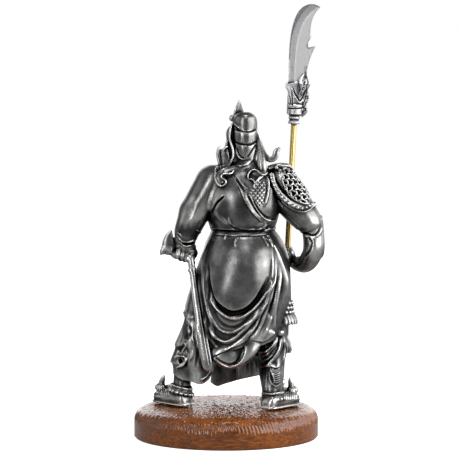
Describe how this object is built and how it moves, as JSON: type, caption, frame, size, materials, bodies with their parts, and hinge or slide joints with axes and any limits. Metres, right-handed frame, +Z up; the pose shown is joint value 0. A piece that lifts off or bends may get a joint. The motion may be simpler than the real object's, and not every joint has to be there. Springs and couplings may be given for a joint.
{
  "type": "guan yu statue",
  "caption": "Cast antiqued-pewter warrior in armour and heavy robe, holding a long glaive, on a round lacquered wooden plinth.",
  "frame": {"origin": "centre of the plinth's underside, on the ground", "axes": "+Z up; the figure faces -Y, and its right hand with the glaive is on the -X side"},
  "size_m": [0.1919, 0.1852, 0.4358],
  "materials": {
    "lacquered_wood": "glossy clear-lacquered orange-brown wood, hammered on top with carved strokes on the shoulder",
    "antiqued_pewter": "cast pewter, bright where it is rubbed and nearly black in the recesses",
    "bright_pewter": "satin bright pewter, darker in the carving",
    "brass_rod": "polished brass"
  },
  "bodies": {
    "root": {"plinth": "lacquered_wood", "figure": "antiqued_pewter", "glaive_pole": "brass_rod", "glaive_butt_cap": "bright_pewter", "glaive_blade": "bright_pewter"}
  },
  "joints": []
}
